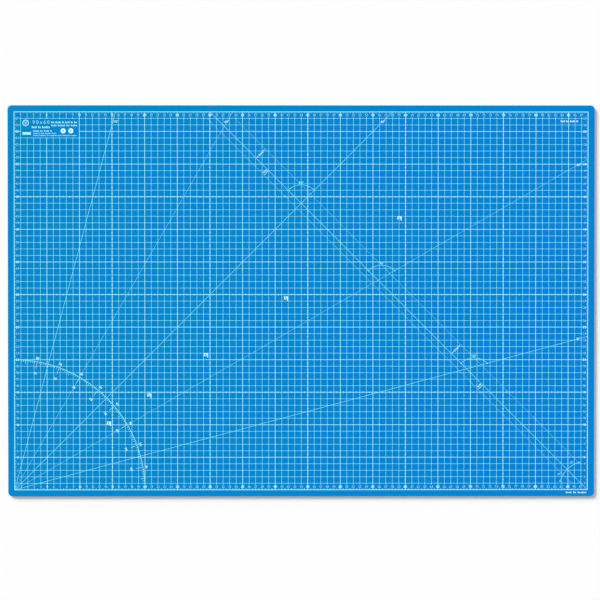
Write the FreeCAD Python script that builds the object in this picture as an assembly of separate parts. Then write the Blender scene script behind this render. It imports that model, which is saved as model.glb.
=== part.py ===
import FreeCAD, Part
import math
import os

from FreeCAD import Vector

# Self-healing cutting mat of A1 size: five bonded PVC plies, with a white centimetre grid printed on top.
#
# Row frame, in millimetres: +X along the long side, +Y along the short side, +Z up out of the printed
# face. The origin is the middle of the underside. The print has its own frame, with its origin in the
# lower left corner of the frame line, and on_mat() takes a point from there to the row frame.
#
# Each pass of ink is a flat film. Strokes that cross each other belong to passes that lie one on the
# other, so no two solids share any volume.

# The sheet
MAT_LENGTH = 900.0
MAT_WIDTH = 600.0
CORNER_RADIUS = 6.5
EDGE_ROUND = 0.2
SKIN = 0.8
FLEX = 0.4
CORE = 0.6
PLIES = (
    ("bottom_healing_ply", SKIN),
    ("lower_flex_ply", FLEX),
    ("core_ply", CORE),
    ("upper_flex_ply", FLEX),
    ("top_healing_ply", SKIN),
)
MAT_THICKNESS = sum(thickness for _, thickness in PLIES)

# The ruling of the print
CM = 10.0
HALF_CM = CM / 2
COLUMNS = 88
ROWS = 58
FRAME_LENGTH = COLUMNS * CM
FRAME_WIDTH = ROWS * CM
STRIP = CM
HEAVY_STEP = 5
RULED_STEP = 15

# How far from the frame line the thin lines end, just short of the numbers in the strip
THIN_INSET = 7.4

# The window that the label panel takes out of the grid: between these columns and between these rows
PANEL_COLUMNS = (1, 10)
PANEL_ROWS = (54, 57)

# Widths of the printed strokes
FRAME_LINE = 0.95
RULED_LINE = 0.85
HEAVY_LINE = 0.75
THIN_LINE = 0.48
FAINT_LINE = 0.22
TICK_LINE = 0.36
RULED_TICK_LINE = 0.7
BOLD_SLANT = 0.46
THIN_SLANT = 0.28
ARC_LINE = 0.66
ARC_TICK_LINE = 0.5
MARK_LINE = 0.55

# Lengths of the ticks
CM_TICK = 2.8
HALF_TICK = 2.0
RULED_TICK = 2.2

# The ink film, and the pass that each kind of stroke belongs to, counted up from the top ply
FILM = 0.02
CROSSWISE_PASS = 0
LENGTHWISE_PASS = 1
SLANT_PASS = 2
DIAGONAL_PASS = 3
MARK_PASS = 4

# Block figures: cell width, stroke and gap as shares of the height, and the heights used
FIGURE_WIDTH = 0.6
FIGURE_STROKE = 0.17
FIGURE_GAP = 0.22
DEGREE_SIZE = 0.32
NUMBER_HEIGHT = 3.4
HEAVY_NUMBER_HEIGHT = 3.6
LABEL_HEIGHT = 3.0
SMALL_HEIGHT = 2.4
FIGURE_SEGMENTS = {
    "0": "abcdef",
    "1": "m",
    "2": "abged",
    "3": "abgcd",
    "4": "fgbc",
    "5": "afgcd",
    "6": "afgecd",
    "7": "abc",
    "8": "abcdefg",
    "9": "abfgcd",
    "A": "abcefg",
}
NUMBER_INSET = 4.8

# The angle lines and the quarter protractor, both about the print's origin
BOLD_ANGLES = (15, 45, 75)
THIN_ANGLES = (30, 60)
ANGLE_LABELS = (
    ("75°", 156.0, 565.0),
    ("60°", 326.0, 565.0),
    ("45°", 565.0, 565.0),
    ("30°", 866.0, 499.0),
    ("15°", 865.0, 232.0),
)
PROTRACTOR_RADIUS = 200.0
TEN_DEGREE_TICK = 10.0
FIVE_DEGREE_TICK = 5.0
DEGREE_TICK = 2.5
OUTER_NUMBER_RADIUS = 205.5
INNER_NUMBER_RADIUS = 182.0

# The 45 degree diagonal from the lower right corner, its two parallels, and what is marked on them.
# Places along the diagonal are distances from that corner.
NEAR_OFFSET = 10.0
FAR_OFFSET = 20.0
NEAR_MARKS = (228.0, 693.0)
FAR_MARKS = (296.0, 720.0)
NEAR_TEXT_SIDE = 3.6
MARK_GAP = 0.8
ARROW = 1.6
ARROW_HALF_ANGLE = 20.0
CROSSING_CHORD = 40.0
CROSSING_RADIUS = CROSSING_CHORD / math.sqrt(2)
CROSSING_LABEL_RISE = 3.4
DOT_RADIUS = 1.1
CROSSING_ANGLES = (45, 30, 15)
CORNER_ARC_RADIUS = 44.0
CORNER_ARC_HALF_SPAN = 27.5
CORNER_LABELS = ((856.0, 42.5), (836.5, 24.0))

# Sheet sizes of the A series, lying lengthwise with a corner on the print's origin
PAPER_SIZES = {
    "A6": (148.0, 105.0),
    "A5": (210.0, 148.0),
    "A4": (297.0, 210.0),
    "A3": (420.0, 297.0),
    "A2": (594.0, 420.0),
}
TAB_LENGTH = 6.6
TAB_LINE = 1.3
TAB_TEXT_HEIGHT = 2.7
TAB_TEXT_GAP = 0.5

# The label panel, in plain blocks: lines of words as (left, middle height, length, height, words)
PANEL_LINES = (
    (27.5, 564.3, 28.4, 6.4, 4),
    (27.5, 556.5, 27.5, 3.2, 4),
    (57.2, 564.0, 39.8, 3.0, 7),
    (57.2, 559.2, 39.8, 2.6, 5),
    (29.5, 550.7, 29.0, 2.2, 5),
    (29.5, 547.0, 35.5, 1.6, 6),
    (29.5, 543.8, 67.0, 1.6, 12),
)
WORD_GAP = 0.9
WORD_ROUND = 0.35
WORD_UNEVENNESS = 0.25
PANEL_PLATE = (13.0, 544.9, 12.8, 3.9)
BADGES = ((75.3, 550.8), (87.0, 550.8))
BADGE_RADIUS = 3.9
BADGE_HOLE = 1.0
EMBLEM = (17.8, 563.0)
EMBLEM_RADIUS = 5.4
EMBLEM_RING = 1.5
EMBLEM_HUB = 1.4
TOP_CAPTION = (838.0, 565.8, 27.0, 2.9, 8)
BOTTOM_CAPTION = (847.0, -4.2, 32.0, 2.4, 3)


def on_mat(x, y, z=0.0):
    """A point of the print's own frame, in the row frame."""
    return Vector(x - FRAME_LENGTH / 2, y - FRAME_WIDTH / 2, z)


def base_of(ink_pass):
    """The height at which a pass of ink starts."""
    return MAT_THICKNESS + ink_pass * FILM


def block(x, y, length, width, ink_pass, passes=1):
    """A straight-sided patch of ink with its lower left corner at (x, y)."""
    corner = on_mat(x, y, base_of(ink_pass))
    return Part.makeBox(length, width, passes * FILM, corner)


def stroke(start, end, width, ink_pass):
    """A straight stroke of ink between two points, with square ends."""
    run = Vector(end[0] - start[0], end[1] - start[1], 0)
    box = Part.makeBox(run.Length, width, FILM, Vector(0, -width / 2, 0))
    box.rotate(Vector(), Vector(0, 0, 1), math.degrees(math.atan2(run.y, run.x)))
    box.translate(on_mat(start[0], start[1], base_of(ink_pass)))
    return box


def disc(x, y, radius, ink_pass):
    """A round dot of ink."""
    return Part.makeCylinder(radius, FILM, on_mat(x, y, base_of(ink_pass)))


def arc_band(x, y, radius, width, start, end, ink_pass):
    """A curved stroke about (x, y), from one angle to the other, in degrees."""
    centre = on_mat(x, y, base_of(ink_pass))
    up = Vector(0, 0, 1)
    inner = Part.makeCircle(radius - width / 2, centre, up, start, end)
    outer = Part.makeCircle(radius + width / 2, centre, up, start, end)
    first = Part.makeLine(inner.valueAt(inner.FirstParameter), outer.valueAt(outer.FirstParameter))
    last = Part.makeLine(inner.valueAt(inner.LastParameter), outer.valueAt(outer.LastParameter))
    outline = Part.Wire(Part.__sortEdges__([inner, last, outer, first]))
    return Part.Face(outline).extrude(Vector(0, 0, FILM))


def inside(shape, inset):
    """The part of a shape that lies inside the frame line's middle by at least the inset."""
    length = FRAME_LENGTH - 2 * inset
    width = FRAME_WIDTH - 2 * inset
    window = Part.makeBox(length, width, MAT_THICKNESS, on_mat(inset, inset, MAT_THICKNESS))
    return shape.common(window)


def polar(x, y, radius, angle):
    """The point at a radius and an angle, in degrees, from (x, y)."""
    turn = math.radians(angle)
    return x + radius * math.cos(turn), y + radius * math.sin(turn)


# Figures


def segment_boxes(height):
    """The seven bars of a block figure, and the middle bar of a one, each as (x, y, length, width)."""
    width = height * FIGURE_WIDTH
    line = height * FIGURE_STROKE
    half = height / 2
    right = width - line
    return {
        "a": (0, height - line, width, line),
        "g": (0, half - line / 2, width, line),
        "d": (0, 0, width, line),
        "f": (0, half, line, half),
        "e": (0, 0, line, half),
        "b": (right, half, line, half),
        "c": (right, 0, line, half),
        "m": (right / 2, 0, line, height),
    }


def make_figure(character, height):
    """One block figure, standing on the origin."""
    if character == "°":
        size = height * DEGREE_SIZE
        return Part.makeBox(size, size, FILM, Vector(0, height - size, 0))
    boxes = segment_boxes(height)
    bars = []
    for name in FIGURE_SEGMENTS[character]:
        x, y, length, width = boxes[name]
        bars.append(Part.makeBox(length, width, FILM, Vector(x, y, 0)))
    return bars[0].fuse(bars[1:]).removeSplitter() if len(bars) > 1 else bars[0]


made_figures = {}


def figure(character, height):
    """A fresh copy of a block figure, each one worked out once."""
    if (character, height) not in made_figures:
        made_figures[character, height] = make_figure(character, height)
    return made_figures[character, height].copy()


def cell_width(character, height):
    """How wide a figure's cell is."""
    return height * (DEGREE_SIZE if character == "°" else FIGURE_WIDTH)


def text(string, height, x, y, ink_pass, angle=0.0):
    """A row of figures centred on (x, y) and turned by an angle in degrees."""
    gap = height * FIGURE_GAP
    total = sum(cell_width(c, height) for c in string) + gap * (len(string) - 1)
    along = -total / 2
    solids = []
    for character in string:
        solid = figure(character, height)
        solid.translate(Vector(along, -height / 2, 0))
        solid.rotate(Vector(), Vector(0, 0, 1), angle)
        solid.translate(on_mat(x, y, base_of(ink_pass)))
        solids += solid.Solids
        along += cell_width(character, height) + gap
    return solids


# The sheet


def ply(bottom, thickness):
    """One sheet of PVC with its four corners rounded."""
    start = Vector(-MAT_LENGTH / 2, -MAT_WIDTH / 2, bottom)
    sheet = Part.makeBox(MAT_LENGTH, MAT_WIDTH, thickness, start)
    uprights = [e for e in sheet.Edges if e.BoundBox.ZLength > thickness / 2]
    return sheet.makeFillet(CORNER_RADIUS, uprights)


def rounded_skin(bottom, thickness, face_height):
    """An outer ply, whose edge is eased all round the face at that height."""
    sheet = ply(bottom, thickness)
    rim = []
    for edge in sheet.Edges:
        if abs(edge.BoundBox.Center.z - face_height) < EDGE_ROUND:
            rim.append(edge)
    return sheet.makeFillet(EDGE_ROUND, rim)


def plies():
    """The five plies, from the underside up."""
    made = {}
    bottom = 0.0
    for name, thickness in PLIES:
        if bottom == 0.0:
            made[name] = [rounded_skin(bottom, thickness, bottom)]
        elif bottom + thickness >= MAT_THICKNESS - EDGE_ROUND:
            made[name] = [rounded_skin(bottom, thickness, bottom + thickness)]
        else:
            made[name] = [ply(bottom, thickness)]
        bottom += thickness
    return made


# The ruling


def column_spans(column, low, high):
    """The stretches of a crosswise line, which is cut out of the label panel's window."""
    if not PANEL_COLUMNS[0] < column < PANEL_COLUMNS[1]:
        return [(low, high)]
    spans = [(low, PANEL_ROWS[0] * CM)]
    if high > PANEL_ROWS[1] * CM:
        spans.append((PANEL_ROWS[1] * CM, high))
    return spans


def row_spans(row, low, high):
    """The stretches of a lengthwise line, which is cut out of the label panel's window."""
    if not PANEL_ROWS[0] < row < PANEL_ROWS[1]:
        return [(low, high)]
    spans = [(PANEL_COLUMNS[1] * CM, high)]
    if low < PANEL_COLUMNS[0] * CM:
        spans.append((low, PANEL_COLUMNS[0] * CM))
    return spans


def crosswise_lines(columns, inset, width):
    """Lines along Y at these columns, ending the inset inside the frame line's middle."""
    solids = []
    for column in columns:
        for low, high in column_spans(column, inset, FRAME_WIDTH - inset):
            solids.append(block(column * CM - width / 2, low, width, high - low, CROSSWISE_PASS))
    return solids


def lengthwise_lines(rows, inset, width):
    """Lines along X at these rows, ending the inset inside the frame line's middle."""
    solids = []
    for row in rows:
        for low, high in row_spans(row, inset, FRAME_LENGTH - inset):
            solids.append(block(low, row * CM - width / 2, high - low, width, LENGTHWISE_PASS))
    return solids


def ruling():
    """The thin centimetre lines, the heavy lines of 5 cm and the graduated lines of 15 cm."""
    columns = range(1, COLUMNS)
    rows = range(1, ROWS)
    edge = FRAME_LINE / 2
    made = {}
    for direction, places, lines in (
        ("crosswise", columns, crosswise_lines),
        ("lengthwise", rows, lengthwise_lines),
    ):
        thin = [n for n in places if n % HEAVY_STEP]
        heavy = [n for n in places if n % HEAVY_STEP == 0 and n % RULED_STEP]
        ruled = [n for n in places if n % RULED_STEP == 0]
        made[f"cm_lines_{direction}"] = lines(thin, THIN_INSET, THIN_LINE)
        made[f"five_cm_lines_{direction}"] = lines(heavy, edge, HEAVY_LINE)
        made[f"ruled_lines_{direction}"] = lines(ruled, edge, RULED_LINE)
    return made


def ruled_ticks():
    """The half-centimetre ticks across the graduated lines, each in the pass of the other direction."""
    reach = RULED_TICK / 2
    across_columns = []
    for column in range(RULED_STEP, COLUMNS, RULED_STEP):
        for row in range(1, ROWS - 1):
            y = row * CM + HALF_CM - RULED_TICK_LINE / 2
            tick = block(column * CM - reach, y, RULED_TICK, RULED_TICK_LINE, LENGTHWISE_PASS)
            across_columns.append(tick)
    across_rows = []
    for row in range(RULED_STEP, ROWS, RULED_STEP):
        for column in range(1, COLUMNS - 1):
            x = column * CM + HALF_CM - RULED_TICK_LINE / 2
            tick = block(x, row * CM - reach, RULED_TICK_LINE, RULED_TICK, CROSSWISE_PASS)
            across_rows.append(tick)
    return {"ruled_ticks_crosswise": across_columns, "ruled_ticks_lengthwise": across_rows}


def frame_line():
    """The heavy rectangle round the print, two passes thick, so that the ruling butts against it."""
    half = FRAME_LINE / 2
    outer = block(-half, -half, FRAME_LENGTH + FRAME_LINE, FRAME_WIDTH + FRAME_LINE, CROSSWISE_PASS, 2)
    hole = block(half, half, FRAME_LENGTH - FRAME_LINE, FRAME_WIDTH - FRAME_LINE, CROSSWISE_PASS, 2)
    return {"frame_line": [outer.cut(hole)]}


def tick_places(count):
    """(place, tick length) at each half centimetre of a side, leaving out the heavy lines' places."""
    places = []
    for half_step in range(1, 2 * count):
        if half_step % (2 * HEAVY_STEP):
            places.append((half_step * HALF_CM, HALF_TICK if half_step % 2 else CM_TICK))
    return places


def edge_ticks():
    """The graduations that stand inward from the frame line on its four sides."""
    edge = FRAME_LINE / 2
    half = TICK_LINE / 2
    bottom = []
    top = []
    for place, length in tick_places(COLUMNS):
        bottom.append(block(place - half, edge, TICK_LINE, length, CROSSWISE_PASS))
        top.append(block(place - half, FRAME_WIDTH - edge - length, TICK_LINE, length, CROSSWISE_PASS))
    left = []
    right = []
    for place, length in tick_places(ROWS):
        left.append(block(edge, place - half, length, TICK_LINE, LENGTHWISE_PASS))
        right.append(block(FRAME_LENGTH - edge - length, place - half, length, TICK_LINE, LENGTHWISE_PASS))
    return {
        "edge_ticks_bottom": bottom,
        "edge_ticks_top": top,
        "edge_ticks_left": left,
        "edge_ticks_right": right,
    }


def edge_numbers():
    """The centimetre numbers in the strips between the frame line and the grid, all upright."""
    made = {"numbers_bottom": [], "numbers_top": [], "numbers_left": [], "numbers_right": []}

    def number(node, value, x, y):
        height = NUMBER_HEIGHT if value % HEAVY_STEP else HEAVY_NUMBER_HEIGHT
        made[node] += text(str(value), height, x, y, MARK_PASS)

    for column in range(1, COLUMNS):
        number("numbers_bottom", column, column * CM, NUMBER_INSET)
        number("numbers_top", column, column * CM, FRAME_WIDTH - NUMBER_INSET)
    for row in range(1, ROWS):
        number("numbers_left", row, NUMBER_INSET, row * CM)
        number("numbers_right", row, FRAME_LENGTH - NUMBER_INSET, row * CM)
    return made


# Angles


def angle_lines():
    """The fan of five angle lines from the print's origin, one piece where they meet, and its labels."""
    reach = FRAME_LENGTH + FRAME_WIDTH
    strokes = []
    for angles, width in ((BOLD_ANGLES, BOLD_SLANT), (THIN_ANGLES, THIN_SLANT)):
        for angle in angles:
            strokes.append(stroke((0, 0), polar(0, 0, reach, angle), width, SLANT_PASS))
    fan = inside(strokes[0].fuse(strokes[1:]), FRAME_LINE / 2)
    labels = []
    for string, x, y in ANGLE_LABELS:
        labels += text(string, LABEL_HEIGHT, x, y, MARK_PASS)
    return {"angle_lines": fan.Solids, "angle_labels": labels}


def protractor_tick(degree):
    """How long the protractor's tick is at a whole degree."""
    if degree % 10 == 0:
        return TEN_DEGREE_TICK
    if degree % 5 == 0:
        return FIVE_DEGREE_TICK
    return DEGREE_TICK


def protractor():
    """The quarter protractor: its arc, its ticks inside the arc, and a row of numbers on each side."""
    first = math.degrees(math.asin(STRIP / PROTRACTOR_RADIUS))
    arc = arc_band(0, 0, PROTRACTOR_RADIUS, ARC_LINE, first, 90 - first, DIAGONAL_PASS)
    # Each tick's outer corners just touch the arc's inner side
    start = math.sqrt((PROTRACTOR_RADIUS - ARC_LINE / 2) ** 2 - (ARC_TICK_LINE / 2) ** 2)
    ticks = []
    for degree in range(math.ceil(first), 90 - math.floor(first)):
        outer = polar(0, 0, start, degree)
        inner = polar(0, 0, start - protractor_tick(degree), degree)
        ticks.append(stroke(outer, inner, ARC_TICK_LINE, DIAGONAL_PASS))
    outer_numbers = []
    inner_numbers = []
    for degree in range(10, 90, 10):
        x, y = polar(0, 0, OUTER_NUMBER_RADIUS, degree)
        outer_numbers += text(str(degree), LABEL_HEIGHT, x, y, DIAGONAL_PASS, degree - 90)
        x, y = polar(0, 0, INNER_NUMBER_RADIUS, degree)
        inner_numbers += text(str(90 - degree), LABEL_HEIGHT, x, y, DIAGONAL_PASS, degree - 90)
    return {
        "protractor_arc": [arc],
        "protractor_ticks": ticks,
        "protractor_numbers_outer": outer_numbers,
        "protractor_numbers_inner": inner_numbers,
    }


# The diagonal and its marks


def diagonal_at(distance, offset):
    """The point that far along the diagonal from the lower right corner, offset away from the origin."""
    x, y = polar(FRAME_LENGTH, 0, distance, 135)
    return polar(x, y, offset, 45)


def diagonals():
    """The 45 degree diagonal up to the frame line, and its two parallels, which end with the grid."""
    reach = FRAME_LENGTH + FRAME_WIDTH
    made = {}
    for name, offset, width, inset in (
        ("main_diagonal", 0, BOLD_SLANT, FRAME_LINE / 2),
        ("offset_line_near", -NEAR_OFFSET, FAINT_LINE, STRIP),
        ("offset_line_far", FAR_OFFSET, FAINT_LINE, STRIP),
    ):
        line = stroke(diagonal_at(-FAR_OFFSET, offset), diagonal_at(reach, offset), width, DIAGONAL_PASS)
        made[name] = inside(line, inset).Solids
    return made


def arrowhead(tip, angle):
    """A small solid triangle whose point is at the tip and faces that way."""
    back = angle + 180
    left = polar(*tip, ARROW, back - ARROW_HALF_ANGLE)
    right = polar(*tip, ARROW, back + ARROW_HALF_ANGLE)
    points = [on_mat(x, y, base_of(MARK_PASS)) for x, y in (tip, left, right, tip)]
    return Part.Face(Part.makePolygon(points)).extrude(Vector(0, 0, FILM))


def spacing_marks():
    """How far each parallel is from the diagonal: arrows between the lines, with the centimetres."""
    solids = []
    for distance in FAR_MARKS:
        quarter = FAR_OFFSET / 4
        for tip, tail, angle in (
            (MARK_GAP, quarter + MARK_GAP, 225),
            (FAR_OFFSET - MARK_GAP, FAR_OFFSET - MARK_GAP - quarter, 45),
        ):
            solids.append(arrowhead(diagonal_at(distance, tip), angle))
            shaft_start = tip + math.copysign(ARROW, tail - tip)
            shaft = (diagonal_at(distance, shaft_start), diagonal_at(distance, tail))
            solids.append(stroke(*shaft, MARK_LINE, MARK_PASS))
        solids += text("2", LABEL_HEIGHT, *diagonal_at(distance, FAR_OFFSET / 2), MARK_PASS, 45)
    for distance in NEAR_MARKS:
        for tip, angle in ((-MARK_GAP, 45), (MARK_GAP - NEAR_OFFSET, 225)):
            solids.append(arrowhead(diagonal_at(distance, tip), angle))
        ends = (-MARK_GAP - ARROW, MARK_GAP + ARROW - NEAR_OFFSET)
        shaft = [diagonal_at(distance, end) for end in ends]
        solids.append(stroke(*shaft, MARK_LINE, MARK_PASS))
        place = diagonal_at(distance + NEAR_TEXT_SIDE, -NEAR_OFFSET / 2)
        solids += text("1", LABEL_HEIGHT, *place, MARK_PASS, 45)
    return {"spacing_marks": solids}


def dotted_arc(x, y, radius, start, end):
    """A curved stroke that ends in a dot at each end, in one piece."""
    arc = arc_band(x, y, radius, MARK_LINE, start, end, MARK_PASS)
    dots = [disc(*polar(x, y, radius, angle), DOT_RADIUS, MARK_PASS) for angle in (start, end)]
    return arc.fuse(dots).removeSplitter().Solids


def crossing_marks():
    """An arc over each crossing of the diagonal with an angle line, with the angle between the two."""
    half_chord = CROSSING_CHORD / 2
    drop = math.sqrt(CROSSING_RADIUS**2 - half_chord**2)
    half_span = math.degrees(math.asin(half_chord / CROSSING_RADIUS))
    made = {}
    for angle in CROSSING_ANGLES:
        slope = math.tan(math.radians(angle))
        height = (FRAME_LENGTH + CROSSING_CHORD) / (1 + 1 / slope)
        x = FRAME_LENGTH - height + half_chord
        y = height - drop
        opening = 135 - angle
        solids = dotted_arc(x, y, CROSSING_RADIUS, 90 - half_span, 90 + half_span)
        label_y = y + CROSSING_RADIUS + CROSSING_LABEL_RISE
        solids += text(f"{opening}°", LABEL_HEIGHT, x, label_y, MARK_PASS)
        made[f"crossing_mark_{opening}"] = solids
    return made


def corner_mark():
    """The arc about the lower right corner, which shows the diagonal's 45 degrees on both sides."""
    start = 135 - CORNER_ARC_HALF_SPAN
    end = 135 + CORNER_ARC_HALF_SPAN
    solids = dotted_arc(FRAME_LENGTH, 0, CORNER_ARC_RADIUS, start, end)
    for x, y in CORNER_LABELS:
        solids += text("45°", SMALL_HEIGHT, x, y, MARK_PASS)
    return {"corner_mark_45": solids}


# Paper sizes and the generic label


def paper_corner_marks():
    """At each sheet size's far corner, a corner bracket with the size's name inside it."""
    solids = []
    for name, (x, y) in PAPER_SIZES.items():
        across = block(x - TAB_LENGTH, y - TAB_LINE, TAB_LENGTH, TAB_LINE, MARK_PASS)
        down = block(x - TAB_LINE, y - TAB_LENGTH, TAB_LINE, TAB_LENGTH, MARK_PASS)
        solids += across.fuse(down).removeSplitter().Solids
        middle = (TAB_LENGTH + TAB_LINE) / 2
        drop = TAB_LINE + TAB_TEXT_GAP + TAB_TEXT_HEIGHT / 2
        solids += text(name, TAB_TEXT_HEIGHT, x - middle, y - drop, MARK_PASS)
    return {"paper_corner_marks": solids}


def word_blocks(left, middle, length, height, words, ink_pass=CROSSWISE_PASS):
    """A line of print with no letters in it: rounded blocks, wide and narrow by turns."""
    share = (length - WORD_GAP * (words - 1)) / words
    solids = []
    along = left
    for index in range(words):
        uneven = WORD_UNEVENNESS * share if index + 1 < words or words % 2 == 0 else 0.0
        width = share + (uneven if index % 2 else -uneven)
        word = block(along, middle - height / 2, width, height, ink_pass)
        uprights = [e for e in word.Edges if e.BoundBox.ZLength > FILM / 2]
        solids.append(word.makeFillet(WORD_ROUND, uprights))
        along += width + WORD_GAP
    return solids


def label_panel():
    """The panel in the grid's window: a round blade as its emblem, blocks for words, and two badges."""
    solids = []
    for line in PANEL_LINES:
        solids += word_blocks(*line)
    solids.append(block(*PANEL_PLATE, CROSSWISE_PASS))
    for x, y in BADGES:
        solids.append(disc(x, y, BADGE_RADIUS, CROSSWISE_PASS).cut(disc(x, y, BADGE_HOLE, CROSSWISE_PASS)))
    x, y = EMBLEM
    blade = disc(x, y, EMBLEM_RADIUS, CROSSWISE_PASS)
    solids.append(blade.cut(disc(x, y, EMBLEM_RADIUS - EMBLEM_RING, CROSSWISE_PASS)))
    solids.append(disc(x, y, EMBLEM_HUB, CROSSWISE_PASS))
    return {"label_panel": solids}


def captions():
    """The two small captions, one over the grid and one in the margin, as plain blocks."""
    return {
        "caption_top_right": word_blocks(*TOP_CAPTION, SLANT_PASS),
        "caption_bottom_right": word_blocks(*BOTTOM_CAPTION),
    }


def main():
    os.makedirs("parts", exist_ok=True)
    for group in (
        plies,
        ruling,
        ruled_ticks,
        frame_line,
        edge_ticks,
        edge_numbers,
        angle_lines,
        protractor,
        diagonals,
        spacing_marks,
        crossing_marks,
        corner_mark,
        paper_corner_marks,
        label_panel,
        captions,
    ):
        for node, solids in group().items():
            Part.makeCompound(solids).exportStep(f"parts/{node}.step")


main()
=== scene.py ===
import math

import bpy
from mathutils import Euler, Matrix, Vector


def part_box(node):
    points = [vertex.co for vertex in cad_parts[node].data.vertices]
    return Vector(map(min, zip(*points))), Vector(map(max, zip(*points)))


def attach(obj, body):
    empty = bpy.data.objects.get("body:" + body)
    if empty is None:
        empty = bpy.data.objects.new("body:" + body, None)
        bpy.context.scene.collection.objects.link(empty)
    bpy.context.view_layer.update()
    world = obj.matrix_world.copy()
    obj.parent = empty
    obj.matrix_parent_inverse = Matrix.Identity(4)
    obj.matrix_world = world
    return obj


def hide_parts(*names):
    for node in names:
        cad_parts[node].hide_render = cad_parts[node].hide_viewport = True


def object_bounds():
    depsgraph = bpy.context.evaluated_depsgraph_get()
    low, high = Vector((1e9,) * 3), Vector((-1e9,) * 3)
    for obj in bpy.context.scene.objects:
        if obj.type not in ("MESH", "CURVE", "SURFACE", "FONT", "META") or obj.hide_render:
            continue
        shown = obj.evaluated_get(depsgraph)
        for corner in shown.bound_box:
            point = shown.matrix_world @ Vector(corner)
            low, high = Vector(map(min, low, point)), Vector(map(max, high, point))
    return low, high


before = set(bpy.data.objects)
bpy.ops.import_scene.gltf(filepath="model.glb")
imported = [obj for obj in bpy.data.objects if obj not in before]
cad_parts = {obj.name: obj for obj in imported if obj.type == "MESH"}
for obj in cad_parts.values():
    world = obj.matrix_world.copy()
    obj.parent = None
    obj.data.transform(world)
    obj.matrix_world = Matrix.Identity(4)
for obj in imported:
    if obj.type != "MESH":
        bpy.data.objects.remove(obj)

# Self-healing cutting mat of A1 size. The plies and the whole screen print are made here as fine
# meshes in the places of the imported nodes. The print is drawn in its own millimetres, from the lower
# left corner of its frame line's middle, and Film takes it to the row frame's metres.

MM = 0.001

cad_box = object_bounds()

# The ruling. The steps, columns and rows count centimetres. The thin lines end a little inside the
# strip of numbers along the frame line, and the label panel has its own window in the grid.
CM = 10.0
HALF_CM = CM / 2
HEAVY_STEP = 5
RULED_STEP = 15
STRIP = CM
THIN_INSET = 7.4
PANEL_COLUMNS = (1, 10)
PANEL_ROWS = (54, 57)

# Widths of the printed strokes
FRAME_LINE = 0.95
RULED_LINE = 0.85
HEAVY_LINE = 0.75
THIN_LINE = 0.48
FAINT_LINE = 0.22
TICK_LINE = 0.36
FINE_TICK_LINE = 0.1
RULED_TICK_LINE = 0.7
BOLD_SLANT = 0.46
THIN_SLANT = 0.28
MARK_LINE = 0.55
ARC_LINE = 0.66
ARC_TICK_LINE = 0.5

# How far a web of ink runs along each side of a corner where two lines cross
THIN_WEB = 0.33
HEAVY_WEB = 0.1

# Lengths of the ticks, and how many there are to a centimetre
CM_TICK = 2.8
HALF_TICK = 2.0
MM_TICK = 1.2
RULED_TICK = 2.2
TICKS_PER_CM = 10

# Thickness of each kind of stroke. All stand on the mat, and where two kinds cross, one is a little
# thicker, so that their faces aren't at the same height.
CROSSWISE_FILM = 0.020
LENGTHWISE_FILM = 0.023
TICK_FILM = 0.026
SLANT_FILM = 0.029
DIAGONAL_FILM = 0.032
MARK_FILM = 0.035

# Numbers and letters. Weights are how far an outline is moved out at size 1. The font's own "1" is a
# bare bar, so a spine with a flag is drawn instead, at size 1 and in one weight.
NUMBER_HEIGHT = 3.4
HEAVY_NUMBER_HEIGHT = 3.2
LABEL_HEIGHT = 3.2
SMALL_HEIGHT = 2.4
NUMBER_INSET = 4.8
FIGURE_GAP = 0.11
PLAIN_WEIGHT = -0.012
HEAVY_WEIGHT = 0.04
LABEL_WEIGHT = 0.02
TAB_WEIGHT = 0.07
FONT_FIGURE_HEIGHT = 0.69
FONT_CURVE_STEPS = 3
ONE_SPINE = ((0.2, 0.0), (0.3, 0.0), (0.3, 0.69), (0.2, 0.69), (0.2, 0.57))
ONE_FLAG = ((0.2, 0.69), (0.04, 0.58), (0.04, 0.48), (0.2, 0.57))

# Angles
BOLD_ANGLES = (15, 45, 75)
THIN_ANGLES = (30, 60)
ANGLE_LABELS = (
    ("75°", 156.0, 565.0),
    ("60°", 326.0, 565.0),
    ("45°", 565.0, 565.0),
    ("30°", 866.0, 499.0),
    ("15°", 865.0, 232.0),
)
PROTRACTOR_RADIUS = 200.0
TEN_DEGREE_TICK = 10.0
FIVE_DEGREE_TICK = 5.0
DEGREE_TICK = 2.5
OUTER_NUMBER_RADIUS = 205.5
INNER_NUMBER_RADIUS = 182.0

# The diagonal and its marks
NEAR_OFFSET = 10.0
FAR_OFFSET = 20.0
NEAR_MARKS = (228.0, 693.0)
FAR_MARKS = (296.0, 720.0)
NEAR_TEXT_SIDE = 3.6
MARK_GAP = 0.8
ARROW = 1.6
ARROW_HALF_ANGLE = 20.0
CROSSING_CHORD = 40.0
CROSSING_RADIUS = CROSSING_CHORD / math.sqrt(2)
CROSSING_LABEL_RISE = 3.4
DOT_RADIUS = 1.1
CROSSING_ANGLES = (45, 30, 15)
CORNER_ARC_RADIUS = 44.0
CORNER_ARC_HALF_SPAN = 27.5
CORNER_LABELS = ((856.0, 42.5), (836.5, 24.0))

# Sheet sizes of the A series, lying lengthwise with a corner on the print's origin
PAPER_SIZES = {
    "A6": (148.0, 105.0),
    "A5": (210.0, 148.0),
    "A4": (297.0, 210.0),
    "A3": (420.0, 297.0),
    "A2": (594.0, 420.0),
}
TAB_LENGTH = 6.6
TAB_LINE = 1.3
TAB_TEXT_HEIGHT = 2.7
TAB_TEXT_GAP = 0.35

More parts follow.
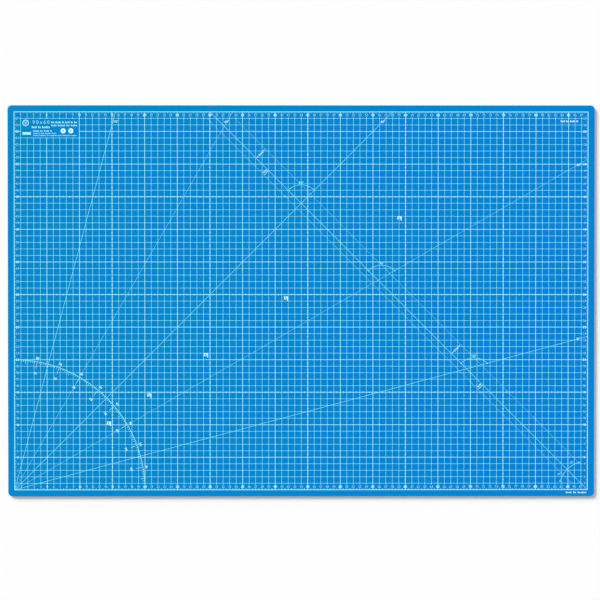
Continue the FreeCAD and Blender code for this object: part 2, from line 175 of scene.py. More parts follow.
# The label panel and the captions. A line of greeked print is (left, middle height, length, height,
# letters in each word).
TITLE = "90x60"
TITLE_HEIGHT = 5.4
TITLE_PLACE = (30.2, 564.2)
TITLE_PITCH = 5.6
PANEL_LINES = (
    (27.5, 556.5, 27.5, 3.2, (4, 2, 6)),
    (57.2, 564.0, 39.8, 2.9, (3, 5, 2, 4, 2, 3)),
    (57.2, 559.2, 39.8, 2.5, (5, 7, 3, 6)),
    (29.5, 550.7, 29.0, 2.2, (6, 3, 5, 2)),
    (29.5, 547.0, 35.5, 1.5, (7, 4, 6, 5)),
    (29.5, 543.8, 67.0, 1.5, (5, 8, 3, 7, 4, 9, 6)),
)
LETTER_FILL = 0.68
LOW_LETTER = 0.72
TALL_LETTERS = 3
PLATE = (13.0, 544.9, 12.8, 3.9)
BADGES = ((75.3, 550.8), (87.0, 550.8))
BADGE_RADIUS = 3.9
BADGE_HOLE = 1.0
EMBLEM = (17.8, 563.0)
EMBLEM_RADIUS = 4.9
EMBLEM_RING = 1.1
EMBLEM_HUB = 1.2
EMBLEM_SPOKES = 6
TOP_CAPTION = (838.0, 565.8, 27.0, 2.9, (4, 3, 5, 2))
BOTTOM_CAPTION = (847.0, -4.2, 32.0, 2.3, (4, 2, 6))

# How finely round shapes are cut
ARC_STEP = 1.0
DOT_SIDES = 32
CORNER_STEPS = 16
EASE_STEPS = 4

# The plies' corners and eased edges
CORNER_RADIUS = 6.5
OUTER_EASE = 0.2
SEAM_EASE = 0.05

# The surfaces. A noise keeps mostly to the middle of its range.
NOISE_MIDDLE = (0.3, 0.7)
PATCH_DETAIL = 3
PATCH_SPREAD = 0.5
EVEN_SHARE = 0.5
GRAIN_DETAIL = 2
ROUGHNESS_SWING = 0.08

# The stage. The camera's lean is in degrees about X and Y. The glow up to the horizon falls to the
# ambient light over the rise, which is a range of heights on the unit sphere.
VIEW_WIDTH = 0.9208
LENS = 120.0
SENSOR = 36.0
VIEW_CENTRE = (-0.0019, 0.00164)
VIEW_LEAN = (-0.86, -0.25)
CLIP_START_PART = 1 / 100
CLIP_END_FLOORS = 10
FLOOR_HALF = 20.0
FLOOR_COLOUR = (0.9, 0.9, 0.9)
FLOOR_ROUGHNESS = 0.9
AMBIENT = 0.52
HORIZON_GLOW = 0.985
GLOW_RISE = (0.10, 0.16)
KEY_STRENGTH = 5.15
KEY_ELEVATION = 20.5
KEY_AZIMUTH = 135.0
KEY_ANGLE = 22.0

# The mat's size
core_low, core_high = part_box("core_ply")
MAT_LENGTH = core_high.x - core_low.x
MAT_WIDTH = core_high.y - core_low.y

# Where the print lies
frame_low, frame_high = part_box("frame_line")
COLUMNS = math.floor((frame_high.x - frame_low.x) / MM / CM)
ROWS = math.floor((frame_high.y - frame_low.y) / MM / CM)
FRAME_LENGTH = COLUMNS * CM
FRAME_WIDTH = ROWS * CM
ORIGIN_X = (frame_low.x + frame_high.x) / 2 - FRAME_LENGTH / 2 * MM
ORIGIN_Y = (frame_low.y + frame_high.y) / 2 - FRAME_WIDTH / 2 * MM
FACE_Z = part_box("top_healing_ply")[1].z


# Materials


def noise(tree, scale, detail, coordinates):
    """A noise texture over the object's own coordinates, in metres."""
    node = tree.nodes.new("ShaderNodeTexNoise")
    node.inputs["Scale"].default_value = scale
    node.inputs["Detail"].default_value = detail
    tree.links.new(coordinates.outputs["Object"], node.inputs["Vector"])
    return node


def ranged(tree, source, low, high):
    """Spreads the middle of a noise's range over the values from low to high."""
    node = tree.nodes.new("ShaderNodeMapRange")
    node.inputs["From Min"].default_value = NOISE_MIDDLE[0]
    node.inputs["From Max"].default_value = NOISE_MIDDLE[1]
    node.inputs["To Min"].default_value = low
    node.inputs["To Max"].default_value = high
    tree.links.new(source, node.inputs["Value"])
    return node


def two_tones(tree, coordinates, colour, other_colour, scale, drift):
    """Two close tones in soft patches, with the second taking over along X by the drift."""
    clouds = noise(tree, scale, PATCH_DETAIL, coordinates)
    patches = ranged(tree, clouds.outputs["Fac"], -PATCH_SPREAD, PATCH_SPREAD)
    place = tree.nodes.new("ShaderNodeSeparateXYZ")
    tree.links.new(coordinates.outputs["Object"], place.inputs["Vector"])
    along = tree.nodes.new("ShaderNodeMath")
    along.operation = "MULTIPLY_ADD"
    along.inputs[1].default_value = drift / (cad_box[1].x - cad_box[0].x)
    along.inputs[2].default_value = EVEN_SHARE
    tree.links.new(place.outputs["X"], along.inputs[0])
    share = tree.nodes.new("ShaderNodeMath")
    share.operation = "MULTIPLY_ADD"
    share.use_clamp = True
    share.inputs[1].default_value = 1 - drift
    tree.links.new(patches.outputs["Result"], share.inputs[0])
    tree.links.new(along.outputs["Value"], share.inputs[2])
    mix = tree.nodes.new("ShaderNodeMix")
    mix.data_type = "RGBA"
    mix.inputs["A"].default_value = (*colour, 1)
    mix.inputs["B"].default_value = (*other_colour, 1)
    tree.links.new(share.outputs["Value"], mix.inputs["Factor"])
    return mix.outputs["Result"]


def sheet_material(
    name, colour, other_colour, tone_scale, roughness, grain_scale, grain_height, gloss, drift=0.0
):
    """A moulded or printed surface: two close tones, uneven roughness and a fine grain."""
    material = bpy.data.materials.new(name)
    material.use_nodes = True
    tree = material.node_tree
    shader = tree.nodes["Principled BSDF"]
    coordinates = tree.nodes.new("ShaderNodeTexCoord")
    tones = two_tones(tree, coordinates, colour, other_colour, tone_scale, drift)
    tree.links.new(tones, shader.inputs["Base Color"])
    grain = noise(tree, grain_scale, GRAIN_DETAIL, coordinates)
    smoothest, roughest = roughness - ROUGHNESS_SWING, roughness + ROUGHNESS_SWING
    uneven = ranged(tree, grain.outputs["Fac"], smoothest, roughest)
    tree.links.new(uneven.outputs["Result"], shader.inputs["Roughness"])
    bump = tree.nodes.new("ShaderNodeBump")
    bump.inputs["Distance"].default_value = grain_height
    tree.links.new(grain.outputs["Fac"], bump.inputs["Height"])
    tree.links.new(bump.outputs["Normal"], shader.inputs["Normal"])
    shader.inputs["Specular IOR Level"].default_value = gloss
    return material


# Soft blue PVC with a fine matte grain, a little greener at its left end
HEALING_PVC = sheet_material(
    "healing_pvc",
    (0.0004, 0.228, 0.545),
    (0.0006, 0.203, 0.615),
    tone_scale=4.0,
    roughness=0.62,
    grain_scale=2600.0,
    grain_height=0.00002,
    gloss=0.02,
    drift=0.75,
)

# The thin intermediate sheets, which show only on the edge
FLEX_PVC = sheet_material(
    "flex_pvc",
    (0.10, 0.33, 0.62),
    (0.08, 0.30, 0.58),
    tone_scale=30.0,
    roughness=0.5,
    grain_scale=3000.0,
    grain_height=0.00001,
    gloss=0.3,
)

# The hard white core, which shows only on the edge
CORE_PVC = sheet_material(
    "core_pvc",
    (0.66, 0.70, 0.72),
    (0.60, 0.64, 0.67),
    tone_scale=30.0,
    roughness=0.45,
    grain_scale=3000.0,
    grain_height=0.00001,
    gloss=0.4,
)


def ink(name, colour, other_colour):
    """Screen-printing ink, a little uneven in its cover."""
    return sheet_material(
        name,
        colour,
        other_colour,
        tone_scale=180.0,
        roughness=0.5,
        grain_scale=4000.0,
        grain_height=0.000004,
        gloss=0.1,
    )


# The finer the stroke, the thinner the ink lies and the more of the blue it lets through
SOLID_INK = ink("solid_ink", (0.66, 0.93, 0.98), (0.60, 0.90, 0.95))
LINE_INK = ink("line_ink", (0.40, 0.90, 0.98), (0.36, 0.87, 0.95))
FINE_INK = ink("fine_ink", (0.27, 0.90, 0.98), (0.24, 0.87, 0.95))


def add_piece(name, points, faces, material, slot, *nodes):
    """Makes a mesh object of one material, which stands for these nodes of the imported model."""
    mesh = bpy.data.meshes.new(name)
    mesh.from_pydata(points, [], faces)
    mesh.materials.append(material)
    piece = bpy.data.objects.new(name, mesh)
    bpy.context.scene.collection.objects.link(piece)
    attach(piece, "root")
    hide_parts(*nodes)
    return piece


# The plies


def corner_outline(low, high, radius, inset):
    """A rectangle with round corners, moved in by the inset, anticlockwise from the lower right."""
    reach = radius - inset
    points = []
    for x, y, start in (
        (high.x - radius, low.y + radius, -90),
        (high.x - radius, high.y - radius, 0),
        (low.x + radius, high.y - radius, 90),
        (low.x + radius, low.y + radius, 180),
    ):
        for step in range(CORNER_STEPS + 1):
            turn = math.radians(start + 90 * step / CORNER_STEPS)
            points.append((x + reach * math.cos(turn), y + reach * math.sin(turn)))
    return points


def edge_profile(low_z, high_z, low_ease, high_ease):
    """(inset, height) up an edge, round at its foot and at its top."""
    profile = []
    turns = [math.pi / 2 * step / EASE_STEPS for step in range(EASE_STEPS + 1)]
    for turn in turns:
        inset = low_ease * (1 - math.sin(turn))
        profile.append((inset, low_z + low_ease * (1 - math.cos(turn))))
    for turn in turns:
        inset = high_ease * (1 - math.cos(turn))
        profile.append((inset, high_z - high_ease * (1 - math.sin(turn))))
    return profile


def add_ply(node, material, slot, low_ease, high_ease):
    """One ply in its node's place, with fine round corners and eased edges."""
    foot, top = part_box(node)
    high = Vector((MAT_LENGTH / 2, MAT_WIDTH / 2))
    points = []
    profile = edge_profile(foot.z, top.z, low_ease * MM, high_ease * MM)
    for inset, z in profile:
        for x, y in corner_outline(-high, high, CORNER_RADIUS * MM, inset):
            points.append((x, y, z))
    rings = len(profile)
    around = len(points) // rings
    faces = [tuple(reversed(range(around)))]
    for ring in range(rings - 1):
        for i in range(around):
            j = (i + 1) % around
            first = ring * around
            faces.append((first + i, first + j, first + around + j, first + around + i))
    faces.append(tuple(range((rings - 1) * around, rings * around)))
    ply = add_piece(f"{node}_sheet", points, faces, material, slot, node)
    for face in ply.data.polygons:
        face.use_smooth = len(face.vertices) < around


def add_plies():
    """The five plies: healing skins outside, thin flex sheets, and the hard core in the middle."""
    add_ply("bottom_healing_ply", HEALING_PVC, "healing_skin", OUTER_EASE, SEAM_EASE)
    add_ply("lower_flex_ply", FLEX_PVC, "flex_sheet", SEAM_EASE, SEAM_EASE)
    add_ply("core_ply", CORE_PVC, "core_sheet", SEAM_EASE, SEAM_EASE)
    add_ply("upper_flex_ply", FLEX_PVC, "flex_sheet", SEAM_EASE, SEAM_EASE)
    add_ply("top_healing_ply", HEALING_PVC, "healing_skin", SEAM_EASE, OUTER_EASE)


# Flat patches of ink


def polar(x, y, radius, angle):
    """The point at a radius and an angle, in degrees, from (x, y)."""
    turn = math.radians(angle)
    return x + radius * math.cos(turn), y + radius * math.sin(turn)


made_glyphs = {}


def glyph(character, weight):
    """One character at size 1 in Blender's own font, as flat points and faces."""
    if character == "1":
        return [*ONE_SPINE, *ONE_FLAG[1:3]], [(0, 1, 2, 3, 4), (3, 5, 6, 4)]
    curve = bpy.data.curves.new("glyph", "FONT")
    curve.body = character
    curve.offset = weight
    curve.resolution_u = FONT_CURVE_STEPS
    holder = bpy.data.objects.new("glyph", curve)
    mesh = bpy.data.meshes.new_from_object(holder)
    points = [(vertex.co.x, vertex.co.y) for vertex in mesh.vertices]
    faces = [tuple(face.vertices) for face in mesh.polygons]
    bpy.data.meshes.remove(mesh)
    bpy.data.objects.remove(holder)
    bpy.data.curves.remove(curve)
    return points, faces


def cached_glyph(character, weight):
    """The glyph's points, moved to start at x = 0, with its faces and its width."""
    if (character, weight) not in made_glyphs:
        points, faces = glyph(character, weight)
        left = min(x for x, _ in points)
        points = [(x - left, y) for x, y in points]
        made_glyphs[character, weight] = points, faces, max(x for x, _ in points)
    return made_glyphs[character, weight]


class Film:
    """Patches of ink that become one closed film."""

    def __init__(self, material=LINE_INK):
        self.material = material
        self.points = []
        self.faces = []

    def patch(self, points, faces=None):
        """Adds flat faces, or one polygon if no faces are given."""
        first = len(self.points)
        self.points += points
        for face in faces or [range(len(points))]:
            self.faces.append(tuple(first + corner for corner in face))

    def bar(self, x, y, length, width):
        """A rectangle with its lower left corner at (x, y)."""
        self.patch([(x, y), (x + length, y), (x + length, y + width), (x, y + width)])

    def stroke(self, start, end, width):
        """A straight line with square ends."""
        angle = math.degrees(math.atan2(end[1] - start[1], end[0] - start[0]))
        half = width / 2
        self.patch([
            polar(*start, half, angle - 90),
            polar(*end, half, angle - 90),
            polar(*end, half, angle + 90),
            polar(*start, half, angle + 90),
        ])

    def arc(self, x, y, radius, width, start, end):
        """A curved line about (x, y), from one angle to the other."""
        steps = math.ceil((end - start) / ARC_STEP)
        points = []
        for step in range(steps + 1):
            angle = start + (end - start) * step / steps
            points.append(polar(x, y, radius - width / 2, angle))
            points.append(polar(x, y, radius + width / 2, angle))
        faces = [(2 * i, 2 * i + 1, 2 * i + 3, 2 * i + 2) for i in range(steps)]
        self.patch(points, faces)

    def disc(self, x, y, radius):
        """A round dot."""
        self.patch([polar(x, y, radius, 360 * side / DOT_SIDES) for side in range(DOT_SIDES)])

    def text(self, string, height, x, y, angle=0.0, weight=LABEL_WEIGHT):
        """A row of characters centred on (x, y) and turned by an angle in degrees."""
        size = height / FONT_FIGURE_HEIGHT
        glyphs = [cached_glyph(character, weight) for character in string]
        along = -(sum(width for _, _, width in glyphs) + FIGURE_GAP * (len(string) - 1)) / 2
        cosine = math.cos(math.radians(angle))
        sine = math.sin(math.radians(angle))
        for points, faces, width in glyphs:
            placed = []
            for px, py in points:
                right = size * (px + along)
                up = size * py - height / 2
                placed.append((x + right * cosine - up * sine, y + right * sine + up * cosine))
            self.patch(placed, faces)
            along += width + FIGURE_GAP

    def greeked(self, left, middle, length, height, words):
        """A line of print without letters: words of upright blocks, some tall and some low."""
        pitch = length / (sum(words) + len(words) - 1)
        along = left
        for letters in words:
            for letter in range(letters):
                rise = LOW_LETTER * height if letter % TALL_LETTERS else height
                self.bar(along, middle - height / 2, LETTER_FILL * pitch, rise)
                along += pitch
            along += pitch

    def finish(self, name, thickness, *nodes):
        """Gives the patches their thickness and their walls, and makes them a piece."""
        count = len(self.points)
        low = [(ORIGIN_X + x * MM, ORIGIN_Y + y * MM, FACE_Z) for x, y in self.points]
        high = [(x, y, z + thickness * MM) for x, y, z in low]
        edges = {}
        for face in self.faces:
            edges.update(dict.fromkeys(zip(face, face[1:] + face[:1])))
        walls = [(a, b, b + count, a + count) for a, b in edges if (b, a) not in edges]
        bottom = [tuple(reversed(face)) for face in self.faces]
        top = [tuple(corner + count for corner in face) for face in self.faces]
        add_piece(name, low + high, bottom + walls + top, self.material, "white_ink", *nodes)


# The ruling


def column_spans(column, low, high):
    """The stretches of a crosswise line, which is cut out of the label panel's window."""
    if not PANEL_COLUMNS[0] < column < PANEL_COLUMNS[1]:
        return [(low, high)]
    spans = [(low, PANEL_ROWS[0] * CM)]
    if high > PANEL_ROWS[1] * CM:
        spans.append((PANEL_ROWS[1] * CM, high))
    return spans


def row_spans(row, low, high):
    """The stretches of a lengthwise line, which is cut out of the label panel's window."""
    if not PANEL_ROWS[0] < row < PANEL_ROWS[1]:
        return [(low, high)]
    spans = [(PANEL_COLUMNS[1] * CM, high)]
    if low < PANEL_COLUMNS[0] * CM:
        spans.append((low, PANEL_COLUMNS[0] * CM))
    return spans


def crosswise_lines(name, columns, inset, width, material):
    """Lines along Y at these columns, ending the inset inside the frame line's middle."""
    film = Film(material)
    for column in columns:
        for low, high in column_spans(column, inset, FRAME_WIDTH - inset):
            film.bar(column * CM - width / 2, low, width, high - low)
    film.finish(f"{name}_crosswise_print", CROSSWISE_FILM, f"{name}_crosswise")


def lengthwise_lines(name, rows, inset, width, material):
    """Lines along X at these rows, ending the inset inside the frame line's middle."""
    film = Film(material)
    for row in rows:
        for low, high in row_spans(row, inset, FRAME_LENGTH - inset):
            film.bar(low, row * CM - width / 2, high - low, width)
    film.finish(f"{name}_lengthwise_print", LENGTHWISE_FILM, f"{name}_lengthwise")


def add_ruling():
    """The thin centimetre lines, the heavy lines of 5 cm and the graduated lines of 15 cm."""
    edge = FRAME_LINE / 2
    for lines, count in ((crosswise_lines, COLUMNS), (lengthwise_lines, ROWS)):
        thin = [place for place in range(1, count) if place % HEAVY_STEP]
        ruled = range(RULED_STEP, count, RULED_STEP)
        heavy = [place for place in range(HEAVY_STEP, count, HEAVY_STEP) if place not in ruled]
        lines("cm_lines", thin, THIN_INSET, THIN_LINE, FINE_INK)
        lines("five_cm_lines", heavy, edge, HEAVY_LINE, LINE_INK)
        lines("ruled_lines", ruled, edge, RULED_LINE, LINE_INK)


def line_width(place):
    """How wide the line of the ruling is at a whole centimetre."""
    if place % RULED_STEP == 0:
        return RULED_LINE
    if place % HEAVY_STEP == 0:
        return HEAVY_LINE
    return THIN_LINE


def add_webs():
    """The webs of ink in the corners where two lines cross, which lie thicker than the lines do."""
    thin, heavy = Film(LINE_INK), Film(SOLID_INK)
    for column in range(1, COLUMNS):
        for row in range(1, ROWS):
            inside_columns = PANEL_COLUMNS[0] < column < PANEL_COLUMNS[1]
            inside_rows = PANEL_ROWS[0] < row < PANEL_ROWS[1]
            if inside_columns and inside_rows:
                continue
            width, other = line_width(column), line_width(row)
            film, web = (thin, THIN_WEB) if width == other == THIN_LINE else (heavy, HEAVY_WEB)
            reach = (width + other) / 2 + web
            film.patch([polar(column * CM, row * CM, reach, angle) for angle in (0, 90, 180, 270)])
    for name, film in (("cm_line", thin), ("five_cm_line", heavy)):
        film.finish(f"{name}_webs_print", TICK_FILM, f"{name}s_crosswise", f"{name}s_lengthwise")


def add_ruled_ticks():
    """The half-centimetre ticks across the graduated lines."""
    reach = RULED_TICK / 2
    film = Film()
    for column in range(RULED_STEP, COLUMNS, RULED_STEP):
        for row in range(1, ROWS - 1):
            y = row * CM + HALF_CM - RULED_TICK_LINE / 2
            film.bar(column * CM - reach, y, RULED_TICK, RULED_TICK_LINE)
    film.finish("ruled_ticks_crosswise_print", TICK_FILM, "ruled_ticks_crosswise")
    film = Film()
    for row in range(RULED_STEP, ROWS, RULED_STEP):
        for column in range(1, COLUMNS - 1):
            x = column * CM + HALF_CM - RULED_TICK_LINE / 2
            film.bar(x, row * CM - reach, RULED_TICK_LINE, RULED_TICK)
    film.finish("ruled_ticks_lengthwise_print", TICK_FILM, "ruled_ticks_lengthwise")


def add_frame_line():
    """The heavy rectangle round the print, mitred at its corners."""
    half = FRAME_LINE / 2
    points = []
    for reach in (half, -half):
        points += [
            (-reach, -reach),
            (FRAME_LENGTH + reach, -reach),
            (FRAME_LENGTH + reach, FRAME_WIDTH + reach),
            (-reach, FRAME_WIDTH + reach),
        ]
    sides = len(points) // 2
    faces = []
    for side in range(sides):
        following = (side + 1) % sides
        faces.append((side, following, sides + following, sides + side))
    film = Film()
    film.patch(points, faces)
    film.finish("frame_line_print", MARK_FILM, "frame_line")


def tick_places(count):
    """(place, length, width) of the tick at each millimetre, except where a heavy line stands."""
    for step in range(1, count * TICKS_PER_CM):
        place = step * CM / TICKS_PER_CM
        if step % (HEAVY_STEP * TICKS_PER_CM) == 0:
            continue
        if step % TICKS_PER_CM == 0:
            yield place, CM_TICK, TICK_LINE
        elif step % (TICKS_PER_CM // 2) == 0:
            yield place, HALF_TICK, TICK_LINE
        else:
            yield place, MM_TICK, FINE_TICK_LINE


def add_edge_ticks():
    """The graduations that stand inward from the frame line on its four sides."""
    edge = FRAME_LINE / 2
    bottom, top, left, right = (Film(FINE_INK) for _ in range(4))
    for place, length, width in tick_places(COLUMNS):
        bottom.bar(place - width / 2, edge, width, length)
        top.bar(place - width / 2, FRAME_WIDTH - edge - length, width, length)
    for place, length, width in tick_places(ROWS):
        left.bar(edge, place - width / 2, length, width)
        right.bar(FRAME_LENGTH - edge - length, place - width / 2, length, width)
    for side, film in (("bottom", bottom), ("top", top), ("left", left), ("right", right)):
        film.finish(f"edge_ticks_{side}_print", TICK_FILM, f"edge_ticks_{side}")


def add_edge_numbers():
    """The centimetre numbers in the strips between the frame line and the grid, all upright."""
    bottom, top, left, right = (Film() for _ in range(4))

    def number(film, value, x, y):
        if value % HEAVY_STEP:
            film.text(str(value), NUMBER_HEIGHT, x, y, weight=PLAIN_WEIGHT)
        else:
            film.text(str(value), HEAVY_NUMBER_HEIGHT, x, y, weight=HEAVY_WEIGHT)

    for column in range(1, COLUMNS):
        number(bottom, column, column * CM, NUMBER_INSET)
        number(top, column, column * CM, FRAME_WIDTH - NUMBER_INSET)
    for row in range(1, ROWS):
        number(left, row, NUMBER_INSET, row * CM)
        number(right, row, FRAME_LENGTH - NUMBER_INSET, row * CM)
    for side, film in (("bottom", bottom), ("top", top), ("left", left), ("right", right)):
        film.finish(f"numbers_{side}_print", MARK_FILM, f"numbers_{side}")


# Angles


def clipped(start, direction, inset):
    """The two ends of a slanting line through start, in a direction in degrees, where it comes to the
    inset from the frame line's middle."""
    dx, dy = polar(0, 0, 1, direction)
    first, last = -math.inf, math.inf
    for place, step, extent in ((start[0], dx, FRAME_LENGTH), (start[1], dy, FRAME_WIDTH)):
        nearer, farther = sorted(((inset - place) / step, (extent - inset - place) / step))
        first = max(first, nearer)
        last = min(last, farther)
    return polar(*start, first, direction), polar(*start, last, direction)


def add_angle_lines():
    """The fan of five angle lines from the print's origin, and its labels."""
    film = Film(FINE_INK)
    for angles, width in ((BOLD_ANGLES, BOLD_SLANT), (THIN_ANGLES, THIN_SLANT)):
        for angle in angles:
            film.stroke(*clipped((0, 0), angle, FRAME_LINE / 2), width)
    film.finish("angle_lines_print", SLANT_FILM, "angle_lines")
    film = Film(SOLID_INK)
    for string, x, y in ANGLE_LABELS:
        film.text(string, LABEL_HEIGHT, x, y)
    film.finish("angle_labels_print", MARK_FILM, "angle_labels")


def protractor_tick(degree):
    """How long the protractor's tick is at a whole degree."""
    if degree % 10 == 0:
        return TEN_DEGREE_TICK
    if degree % 5 == 0:
        return FIVE_DEGREE_TICK
    return DEGREE_TICK


def add_protractor():
    """The quarter protractor: its arc, the ticks inside the arc, and two rows of numbers."""
    first = math.degrees(math.asin(STRIP / PROTRACTOR_RADIUS))
    film = Film(FINE_INK)
    film.arc(0, 0, PROTRACTOR_RADIUS, ARC_LINE, first, 90 - first)
    film.finish("protractor_arc_print", DIAGONAL_FILM, "protractor_arc")
    start = PROTRACTOR_RADIUS - ARC_LINE / 2
    film = Film()
    for degree in range(math.ceil(first), 90 - math.floor(first)):
        outer = polar(0, 0, start, degree)
        inner = polar(0, 0, start - protractor_tick(degree), degree)
        film.stroke(outer, inner, ARC_TICK_LINE)
    film.finish("protractor_ticks_print", DIAGONAL_FILM, "protractor_ticks")
    outer_film, inner_film = Film(SOLID_INK), Film(SOLID_INK)
    for degree in range(10, 90, 10):
        outer = polar(0, 0, OUTER_NUMBER_RADIUS, degree)
        inner = polar(0, 0, INNER_NUMBER_RADIUS, degree)
        outer_film.text(str(degree), LABEL_HEIGHT, *outer, degree - 90)
        inner_film.text(str(90 - degree), LABEL_HEIGHT, *inner, degree - 90)
    outer_film.finish("protractor_numbers_outer_print", MARK_FILM, "protractor_numbers_outer")
    inner_film.finish("protractor_numbers_inner_print", MARK_FILM, "protractor_numbers_inner")


# The diagonal and its marks


def diagonal_at(distance, offset):
    """The point that far along the diagonal from the lower right corner, and off it by the offset,
    which counts away from the origin."""
    return polar(*polar(FRAME_LENGTH, 0, distance, 135), offset, 45)


def add_diagonals():
    """The 45 degree diagonal up to the frame line, and its two parallels, which end at the strip."""
    for name, offset, width, inset in (
        ("main_diagonal", 0, BOLD_SLANT, FRAME_LINE / 2),
        ("offset_line_near", -NEAR_OFFSET, FAINT_LINE, STRIP),
        ("offset_line_far", FAR_OFFSET, FAINT_LINE, STRIP),
    ):
        film = Film(FINE_INK)
        film.stroke(*clipped(diagonal_at(0, offset), 135, inset), width)
        film.finish(f"{name}_print", DIAGONAL_FILM, name)


def arrowhead(film, tip, angle):
    """A small solid triangle whose point is at the tip and faces that way."""
    back = angle + 180
    left = polar(*tip, ARROW, back - ARROW_HALF_ANGLE)
    right = polar(*tip, ARROW, back + ARROW_HALF_ANGLE)
    film.patch([tip, left, right])


def add_spacing_marks():
    """How far each parallel is from the diagonal: arrows between them, with the centimetres."""
    film = Film(SOLID_INK)
    quarter = FAR_OFFSET / 4
    for distance in FAR_MARKS:
        for tip, tail, angle in (
            (MARK_GAP, quarter + MARK_GAP, 225),
            (FAR_OFFSET - MARK_GAP, FAR_OFFSET - MARK_GAP - quarter, 45),
        ):
            arrowhead(film, diagonal_at(distance, tip), angle)
            shaft_start = tip + math.copysign(ARROW, tail - tip)
            film.stroke(diagonal_at(distance, shaft_start), diagonal_at(distance, tail), MARK_LINE)
        film.text("2cm", LABEL_HEIGHT, *diagonal_at(distance, FAR_OFFSET / 2), 45)
    for distance in NEAR_MARKS:
        for tip, angle in ((-MARK_GAP, 45), (MARK_GAP - NEAR_OFFSET, 225)):
            arrowhead(film, diagonal_at(distance, tip), angle)
        start = diagonal_at(distance, -MARK_GAP - ARROW)
        end = diagonal_at(distance, MARK_GAP + ARROW - NEAR_OFFSET)
        film.stroke(start, end, MARK_LINE)
        beside = diagonal_at(distance + NEAR_TEXT_SIDE, -NEAR_OFFSET / 2)
        film.text("1cm", LABEL_HEIGHT, *beside, 45)
    film.finish("spacing_marks_print", MARK_FILM, "spacing_marks")


def dotted_arc(film, x, y, radius, start, end):
    """A curved stroke that ends in a dot at each end."""
    film.arc(x, y, radius, MARK_LINE, start, end)
    for angle in (start, end):
        film.disc(*polar(x, y, radius, angle), DOT_RADIUS)


def add_crossing_marks():
    """An arc over each crossing of the diagonal with an angle line, with the angle between them."""
    half_chord = CROSSING_CHORD / 2
    drop = math.sqrt(CROSSING_RADIUS**2 - half_chord**2)
    half_span = math.degrees(math.asin(half_chord / CROSSING_RADIUS))
    for angle in CROSSING_ANGLES:
        slope = math.tan(math.radians(angle))
        height = (FRAME_LENGTH + CROSSING_CHORD) / (1 + 1 / slope)
        x = FRAME_LENGTH - height + half_chord
        y = height - drop
        opening = 135 - angle
        film = Film(FINE_INK)
        dotted_arc(film, x, y, CROSSING_RADIUS, 90 - half_span, 90 + half_span)
        film.text(f"{opening}°", LABEL_HEIGHT, x, y + CROSSING_RADIUS + CROSSING_LABEL_RISE)
        film.finish(f"crossing_mark_{opening}_print", MARK_FILM, f"crossing_mark_{opening}")


def add_corner_mark():
    """The arc about the lower right corner, with the diagonal's 45 degrees on both sides."""
    film = Film(FINE_INK)
    start = 135 - CORNER_ARC_HALF_SPAN
    end = 135 + CORNER_ARC_HALF_SPAN
    dotted_arc(film, FRAME_LENGTH, 0, CORNER_ARC_RADIUS, start, end)
    for x, y in CORNER_LABELS:
        film.text("45°", SMALL_HEIGHT, x, y)
    film.finish("corner_mark_45_print", MARK_FILM, "corner_mark_45")


def add_paper_corner_marks():
    """At each sheet size's far corner, a corner bracket with the size's name inside it."""
    film = Film(SOLID_INK)
    middle = (TAB_LENGTH + TAB_LINE) / 2
    drop = TAB_LINE + TAB_TEXT_GAP + TAB_TEXT_HEIGHT / 2
    for name, (x, y) in PAPER_SIZES.items():
        film.patch([
            (x - TAB_LENGTH, y - TAB_LINE),
            (x - TAB_LINE, y - TAB_LINE),
            (x - TAB_LINE, y - TAB_LENGTH),
            (x, y - TAB_LENGTH),
            (x, y),
            (x - TAB_LENGTH, y),
        ])
        film.text(name, TAB_TEXT_HEIGHT, x - middle, y - drop, weight=TAB_WEIGHT)
    film.finish("paper_corner_marks_print", MARK_FILM, "paper_corner_marks")


def ring(film, x, y, radius, width):
    """A closed ring."""
    points = []
    for reach in (radius - width, radius):
        points += [polar(x, y, reach, 360 * side / DOT_SIDES) for side in range(DOT_SIDES)]
    faces = []
    for side in range(DOT_SIDES):
        following = (side + 1) % DOT_SIDES
        faces.append((side, DOT_SIDES + side, DOT_SIDES + following, following))
    film.patch(points, faces)


def add_label_panel():
    """The panel in the grid's window: a spoked blade as its emblem, the mat's size in centimetres as
    its title, greeked lines, a plate and two badges."""
    film = Film()
    x, y = EMBLEM
    ring(film, x, y, EMBLEM_RADIUS, EMBLEM_RING)
    ring(film, x, y, EMBLEM_HUB, EMBLEM_HUB / 2)
    for spoke in range(EMBLEM_SPOKES):
        angle = 360 * spoke / EMBLEM_SPOKES
        start = polar(x, y, EMBLEM_HUB + MARK_LINE / 2, angle)
        end = polar(x, y, EMBLEM_RADIUS - EMBLEM_RING - MARK_LINE / 2, angle)
        film.stroke(start, end, MARK_LINE)
    left, middle = TITLE_PLACE
    for index, character in enumerate(TITLE):
        film.text(character, TITLE_HEIGHT, left + index * TITLE_PITCH, middle, weight=PLAIN_WEIGHT)
    for line in PANEL_LINES:
        film.greeked(*line)
    film.bar(*PLATE)
    film.finish("label_panel_print", MARK_FILM, "label_panel")
    film = Film(SOLID_INK)
    for x, y in BADGES:
        ring(film, x, y, BADGE_RADIUS, BADGE_RADIUS - BADGE_HOLE)
    film.finish("label_badges_print", MARK_FILM, "label_panel")


def add_captions():
    """The two small captions, one over the grid and one in the margin, greeked."""
    for place, line in (("top", TOP_CAPTION), ("bottom", BOTTOM_CAPTION)):
        film = Film(SOLID_INK)
        film.greeked(*line)
        film.finish(f"caption_{place}_right_print", MARK_FILM, f"caption_{place}_right")


# The stage


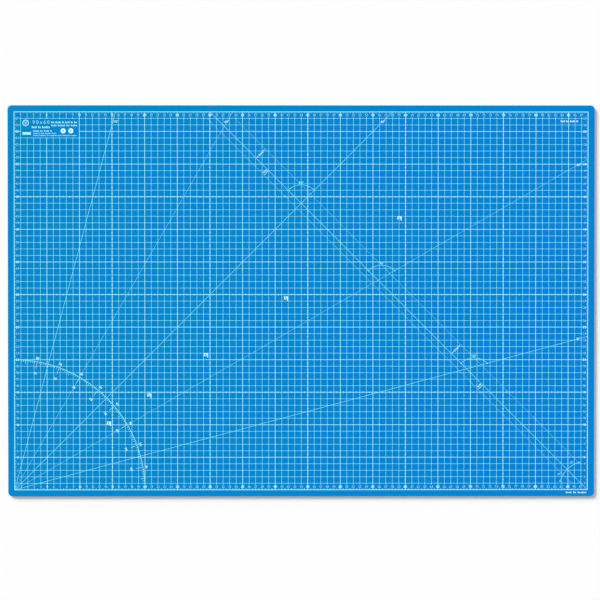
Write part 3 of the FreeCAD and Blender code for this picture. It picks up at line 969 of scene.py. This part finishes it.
def add_floor():
    """A plain pale floor under the mat."""
    low = cad_box[0].z
    corners = [(-1, -1), (1, -1), (1, 1), (-1, 1)]
    points = [(x * FLOOR_HALF, y * FLOOR_HALF, low) for x, y in corners]
    mesh = bpy.data.meshes.new("floor")
    mesh.from_pydata(points, [], [range(len(points))])
    material = bpy.data.materials.new("floor_paper")
    material.use_nodes = True
    shader = material.node_tree.nodes["Principled BSDF"]
    shader.inputs["Base Color"].default_value = (*FLOOR_COLOUR, 1)
    shader.inputs["Roughness"].default_value = FLOOR_ROUGHNESS
    shader.inputs["Specular IOR Level"].default_value = 0.0
    mesh.materials.append(material)
    floor = bpy.data.objects.new("floor", mesh)
    bpy.context.scene.collection.objects.link(floor)


def add_surround():
    """A pale surround, which is as bright as the floor just over the horizon."""
    world = bpy.data.worlds.new("studio")
    world.use_nodes = True
    tree = world.node_tree
    direction = tree.nodes.new("ShaderNodeTexCoord")
    parts = tree.nodes.new("ShaderNodeSeparateXYZ")
    tree.links.new(direction.outputs["Generated"], parts.inputs["Vector"])
    glow = tree.nodes.new("ShaderNodeMapRange")
    glow.inputs["From Min"].default_value = GLOW_RISE[0]
    glow.inputs["From Max"].default_value = GLOW_RISE[1]
    glow.inputs["To Min"].default_value = HORIZON_GLOW
    glow.inputs["To Max"].default_value = AMBIENT
    tree.links.new(parts.outputs["Z"], glow.inputs["Value"])
    tree.links.new(glow.outputs["Result"], tree.nodes["Background"].inputs["Strength"])
    tree.nodes["Background"].inputs["Color"].default_value = (1, 1, 1, 1)
    bpy.context.scene.world = world


def add_key_light():
    """One low and soft key light from the upper left."""
    key = bpy.data.lights.new("key", "SUN")
    key.energy = KEY_STRENGTH
    key.angle = math.radians(KEY_ANGLE)
    lamp = bpy.data.objects.new("key", key)
    bpy.context.scene.collection.objects.link(lamp)
    across, up = polar(0, 0, 1, KEY_ELEVATION)
    x, y = polar(0, 0, across, KEY_AZIMUTH)
    lamp.rotation_mode = "QUATERNION"
    lamp.rotation_quaternion = Vector((x, y, up)).to_track_quat("Z", "Y")


def add_camera():
    """A camera above the mat, which leans a little from straight down."""
    data = bpy.data.cameras.new("camera")
    data.lens = LENS
    data.sensor_width = SENSOR
    distance = VIEW_WIDTH * LENS / SENSOR
    data.clip_start = distance * CLIP_START_PART
    data.clip_end = FLOOR_HALF * CLIP_END_FLOORS
    camera = bpy.data.objects.new("camera", data)
    lean = Euler((math.radians(VIEW_LEAN[0]), math.radians(VIEW_LEAN[1]), 0))
    camera.rotation_euler = lean
    camera.location = Vector((*VIEW_CENTRE, FACE_Z)) + lean.to_matrix() @ Vector((0, 0, distance))
    bpy.context.scene.collection.objects.link(camera)
    bpy.context.scene.camera = camera


def main():
    bpy.context.scene.view_settings.view_transform = "Standard"
    add_plies()
    add_ruling()
    add_webs()
    add_ruled_ticks()
    add_frame_line()
    add_edge_ticks()
    add_edge_numbers()
    add_angle_lines()
    add_protractor()
    add_diagonals()
    add_spacing_marks()
    add_crossing_marks()
    add_corner_mark()
    add_paper_corner_marks()
    add_label_panel()
    add_captions()
    add_floor()
    add_surround()
    add_key_light()
    add_camera()


main()
